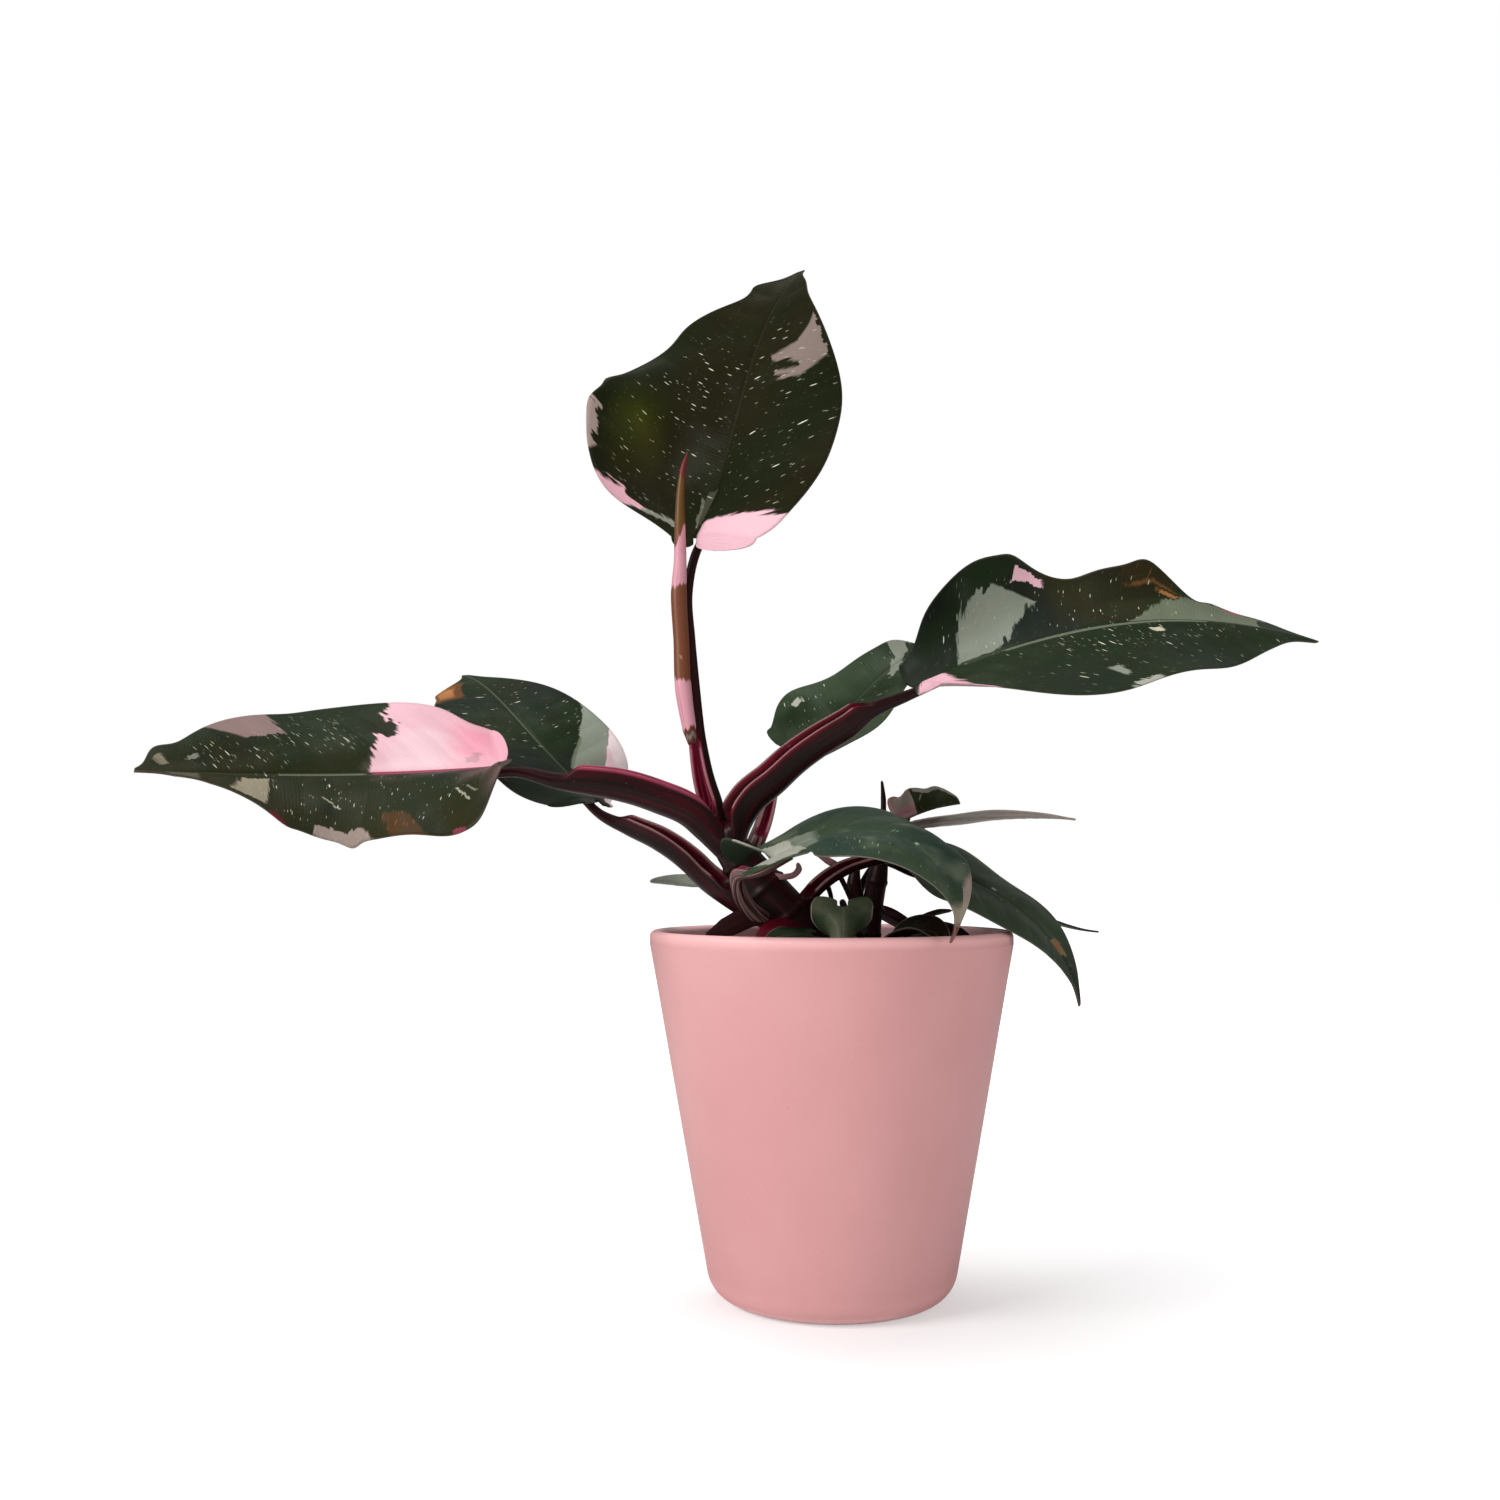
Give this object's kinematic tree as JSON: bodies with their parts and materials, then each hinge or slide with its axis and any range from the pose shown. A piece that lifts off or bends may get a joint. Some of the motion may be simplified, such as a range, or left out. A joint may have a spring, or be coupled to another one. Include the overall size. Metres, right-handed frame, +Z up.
{
  "type": "potted philodendron",
  "caption": "Leafy climbing houseplant in a tapered cover pot: heart-shaped blades on channelled stalks from one thick leaning stem, with a rolled young leaf, beside a thin second stem",
  "frame": {"origin": "the middle of the pot's underside", "axes": "X to the right and Y away from the viewer, as seen from the front of the plant, and Z up; the plant stands on the plane Z = 0"},
  "size_m": [0.4423, 0.2105, 0.4158],
  "materials": {
    "pot": "matte pink",
    "soil": "damp potting soil",
    "stalk": "smooth dark maroon",
    "blade": "glossy dark green",
    "rolled_leaf": "satin brown and pink"
  },
  "bodies": {
    "root": {"pot": "pot", "soil": "soil", "stem_main": "stalk", "stem_second": "stalk", "leaf_rolled": "rolled_leaf", "leaf_top": "blade", "leaf_left": "blade", "leaf_back_left": "blade", "leaf_right": "blade", "leaf_back_right": "blade", "leaf_front": "blade", "leaf_front_low": "blade", "leaf_young_cupped": "blade", "leaf_young_narrow": "blade", "leaf_low_right": "blade", "leaf_pale_left": "blade", "leaf_heart_hanging": "blade", "leaf_low_front": "blade", "leaf_low_narrow": "blade", "leaf_low_curled": "blade", "leaf_low_round": "blade"}
  },
  "joints": []
}
